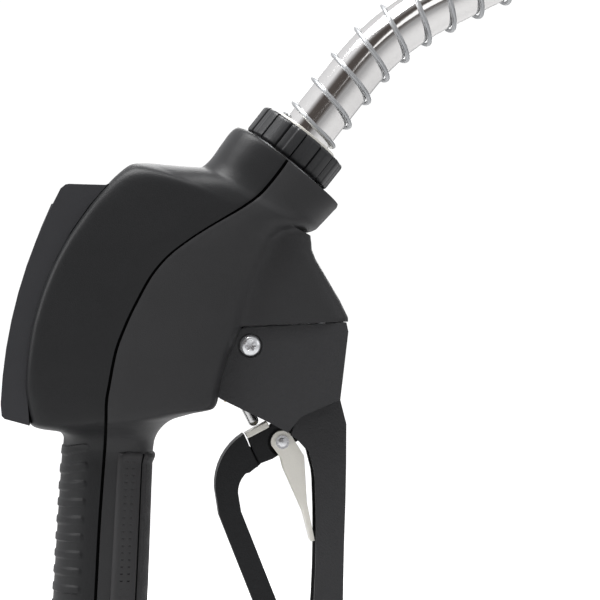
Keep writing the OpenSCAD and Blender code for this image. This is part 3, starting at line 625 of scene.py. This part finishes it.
def spoutFrame(s):
    # a place on the spout's axis, with the direction below it
    b = max(0, min(s - spoutSet["bendStart"], arcLength)) / spoutSet["bendRadius"]
    ahead = max(0, s - spoutSet["bendStart"] - arcLength)
    x = spoutSet["bendRadius"] * (1 - math.cos(b)) + ahead * math.sin(b)
    z = min(s, spoutSet["bendStart"]) + spoutSet["bendRadius"] * math.sin(b) + ahead * math.cos(b)
    place = leaned(x, z) + Vector((spoutSet["neck"][0], 0, spoutSet["neck"][1]))
    return place, leaned(math.cos(b), -math.sin(b)), leaned(math.sin(b), math.cos(b))


def spoutRings(profile, sides, shape=None):
    # rings round the spout's axis; profile is a list of lengths and radii
    points = []
    for s, r in profile:
        place, below, along = spoutFrame(s)
        for k in range(sides):
            a = 2 * math.pi * k / sides
            rr = r if shape is None else shape(s, r, a)
            points.append(place + below * (rr * math.cos(a)) + Vector((0, rr * math.sin(a), 0)))
    return points


def closedRings(count, sides):
    faces = gridFaces(count, sides, True)
    last = (count - 1) * sides
    return faces + [(last + k, last + (k + 1) % sides, (k + 1) % sides, k) for k in range(sides)]


def makeSpout(spec):
    end = spec["bendStart"] + arcLength + spec["reach"] - spec["tip"]
    outer = [(s, spec["radius"]) for s in np.linspace(spec["root"], end - 0.3, 110)]
    bore = [(s, spec["radius"] - spec["wall"]) for s in np.linspace(end, spec["root"], 60)]
    profile = outer + [(end - 0.05, spec["radius"] - 0.12), (end, spec["radius"] - 0.4)] + bore
    newPiece("spoutTube", spoutRings(profile, spec["sides"]), closedRings(len(profile), spec["sides"]),
             "nozzle_body", "polishedSpout", ("spout_tube",))


nutSet = {"radius": 19.5, "height": 12.7, "foot": 0.3, "bore": 11.2, "lobes": 16, "groove": 0.8,
          "flat": 0.3, "ridge": 0.28, "round": 1.5, "sides": 360}


def makeNut(spec):
    r, foot, top, k = spec["radius"], spec["foot"], spec["height"], spec["round"]
    step = 2 * math.pi / spec["lobes"]

    def shape(s, radius, a):
        if radius < r - 6:
            return radius
        side = abs((a / step) % 1 - 0.5) * 2       # 1 at a groove, 0 in the middle of a flat
        depth = spec["groove"] * float(easeStep(0.91, 0.955, side))
        bulge = spec["flat"] * (1 - side * side)
        ridge = spec["ridge"] * float(easeStep(-0.06, 0.0, (a / step) % 1 - 0.5))
        cut = depth * float(easeStep(r - 3.4, r - 1.2, radius))
        return radius - cut - spec["flat"] + bulge * 0.9 + ridge

    profile = [(foot, spec["bore"]), (foot, r - 4), (foot, r - 1.4), (foot + 0.4, r - 0.5), (foot + 1.2, r)]
    profile += [(foot + 1.2 + (top - foot - 1.2 - k) * i / 6, r) for i in range(1, 7)]
    profile += [(top - k + k * math.sin(a), r - k + k * math.cos(a))
                for a in np.radians((15, 30, 45, 60, 75, 90))]
    hole = spec["bore"]
    profile += [(top, r - 3.4), (top, r - 4.4), (top - 0.35, r - 4.8), (top - 0.35, hole + 2),
                (top - 0.1, hole + 1.6), (top - 0.1, hole + 0.3), (top - 0.5, hole)]
    points = spoutRings(profile, spec["sides"], shape)
    newPiece("spoutNut", points, closedRings(len(profile), spec["sides"]), "nozzle_body", "nutNylon",
             ("spout_nut",), sharp=50)


# slow turns lie close together at the nut, closePitch apart
springSet = {"turns": 8.5, "wire": 1.9, "clear": 0.35, "start": 14.9, "length": 109, "slow": 0.8,
             "closePitch": 3.2, "phase": 200, "perTurn": 44, "sides": 14}


def wirePiece(name, path, radius, sides, body, finish, stands):
    # a round wire with rounded ends along a path
    points, faces = [], []
    up = Vector((0, 1, 0.01))
    for i, p in enumerate(path):
        along = (path[min(i + 1, len(path) - 1)] - path[max(i - 1, 0)]).normalized()
        side = (up - along * up.dot(along)).normalized()
        up = side
        other = along.cross(side)
        ends = {0: 0.55, 1: 0.9, len(path) - 2: 0.9, len(path) - 1: 0.55}
        r = radius * ends.get(i, 1)
        for k in range(sides):
            a = 2 * math.pi * k / sides
            points.append(p + side * (r * math.cos(a)) + other * (r * math.sin(a)))
    faces = gridFaces(len(path), sides, True)
    faces.append(tuple(range(sides)))
    faces.append(tuple((len(path) - 1) * sides + k for k in range(sides)))
    return newPiece(name, points, faces, body, finish, stands, sharp=60)


def makeSpring(spec):
    r = spoutSet["radius"] + spec["clear"] + spec["wire"] / 2
    total = spec["turns"] + spec["slow"]
    path = []
    for i in range(int(total * spec["perTurn"]) + 1):
        v = i / spec["perTurn"]
        s = spec["start"] + spec["closePitch"] * min(v, spec["slow"])
        s += max(0, v - spec["slow"]) * (spec["length"] - spec["closePitch"] * spec["slow"]) / spec["turns"]
        a = math.radians(-360 * v + spec["phase"])
        place, below, along = spoutFrame(s)
        path.append(place + below * (r * math.cos(a)) + Vector((0, r * math.sin(a), 0)))
    wirePiece("spoutSpring", path, spec["wire"] / 2, spec["sides"], "nozzle_body", "springWire",
              ("spout_spring",))


makeSpout(spoutSet)
makeNut(nutSet)
makeSpring(springSet)
print("spout ready")


screwSet = {"at": (53.8, 177.5), "y": 19.0, "radius": 4.3, "domeHeight": 2.2, "recess": 1.95, "lobes": 6,
            "lobeDepth": 0.16, "skirt": 1.2, "sides": 72}
rivetSet = {"at": (69.5, 139.6), "y": 6.85, "radius": 2.7, "domeHeight": 1.0, "skirt": 0.3, "sides": 48}


def domePoints(spec, side, profile):
    points = []
    for out, r, inRecess in profile:
        for k in range(spec["sides"]):
            a = 2 * math.pi * k / spec["sides"]
            rr = r * (1 + spec["lobeDepth"] * math.cos(spec["lobes"] * a)) if inRecess else r
            x, z = spec["at"][0] + rr * math.cos(a), spec["at"][1] + rr * math.sin(a)
            points.append(Vector((x, side * (spec["y"] + out), z)))
    return points


def domeArc(spec, angles):
    h, r = spec["domeHeight"], spec["radius"]
    return [(h * math.cos(a), r * math.sin(a), False) for a in np.radians(angles)]


def headPair(spec, profile):
    # one head on each side, closed at both ends
    points, faces = [], []
    sides = spec["sides"]
    for side in (-1, 1):
        start = len(points)
        points += domePoints(spec, side, profile)
        faces += [tuple(start + v for v in f) for f in gridFaces(len(profile), sides, True)]
        faces.append(tuple(start + k for k in range(sides)))
        faces.append(tuple(start + (len(profile) - 1) * sides + k for k in range(sides)))
    return points, faces


def makeScrews(spec):
    h, r = spec["domeHeight"], spec["recess"]
    profile = [(h * 0.25, r * 0.5, True), (h * 0.3, r * 0.92, True), (h * 0.82, r, True)]
    profile += [(h * 0.86, r * 1.08, True)] + domeArc(spec, (32, 40, 50, 60, 70, 80, 90))
    points, faces = headPair(spec, profile + [(-spec["skirt"], spec["radius"], False)])
    newPiece("guardScrewHeads", points, faces, "nozzle_body", "zincPlate", ("guard_screws",),
             sharp=40)


def makeRivet(spec):
    profile = domeArc(spec, (4, 20, 40, 60, 75, 90))
    points, faces = headPair(spec, profile + [(-spec["skirt"], spec["radius"], False)])
    newPiece("clipRivetHeads", points, faces, "lever", "zincPlate")


makeScrews(screwSet)
makeRivet(rivetSet)
print("screws and rivet ready")


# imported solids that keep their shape: the finish of each record slot, and how round the edges that show are
slotFinish = {
    "cover_plastic": "coverPlastic", "grip_rubber": "gripRubber", "frame_plastic": "framePlastic",
    "panel_sheet": "panelSheet", "casting": "castAlloy", "brass": "brass", "seal_rubber": "sealRubber",
    "white_plastic": "acetal", "spring_wire": "springWire", "steel": "groundSteel",
    "zinc_plate": "zincPlate", "nut_plastic": "nutNylon", "spout_aluminium": "polishedSpout",
    "nickel_steel": "nickelClip",
    "lever_plastic": "leverPlastic", "guard_plastic": "guardPlastic",
}
# the front cover takes the lighter copy of the cover plastic, which is painted light
nodeFinish = {"front_cover": "frontPlasticPaintedLight"}
edgeRounding = {"panel_frame": 1.3, "panel_face": 0.25, "lever_guard": 0.9, "lever_arm": 1.1,
                "lever_head": 0.4, "lever_saddle": 0.3, "hold_open_clip": 0.22, "guard_rack": 0.2,
                "body_casting": 0.3,
                "spout_ring": 0.25, "guard_end_screw": 0.4, "spout_tip": 0.2}
nodeEdge = {"weld": 0.004, "angle": 28, "segments": 3}


def dressNodes():
    slots = {row["node"]: row["material_slot"] for row in frame["record"]["subparts"]}
    for name, node in nodes.items():
        node.data.materials.clear()
        node.data.materials.append(finishes[nodeFinish.get(name, slotFinish[slots[name]])])
        if name not in edgeRounding:
            continue
        if "custom_normal" in node.data.attributes:
            node.data.attributes.remove(node.data.attributes["custom_normal"])
        node.data.shade_smooth()
        weld = node.modifiers.new("weld", "WELD")
        weld.merge_threshold = nodeEdge["weld"] * mm
        edge = node.modifiers.new("edge", "BEVEL")
        edge.limit_method, edge.angle_limit = "ANGLE", math.radians(nodeEdge["angle"])
        edge.width, edge.segments = edgeRounding[name] * mm, nodeEdge["segments"]
        edge.harden_normals = True


dressNodes()
print("CAD nodes dressed:", len(nodes))
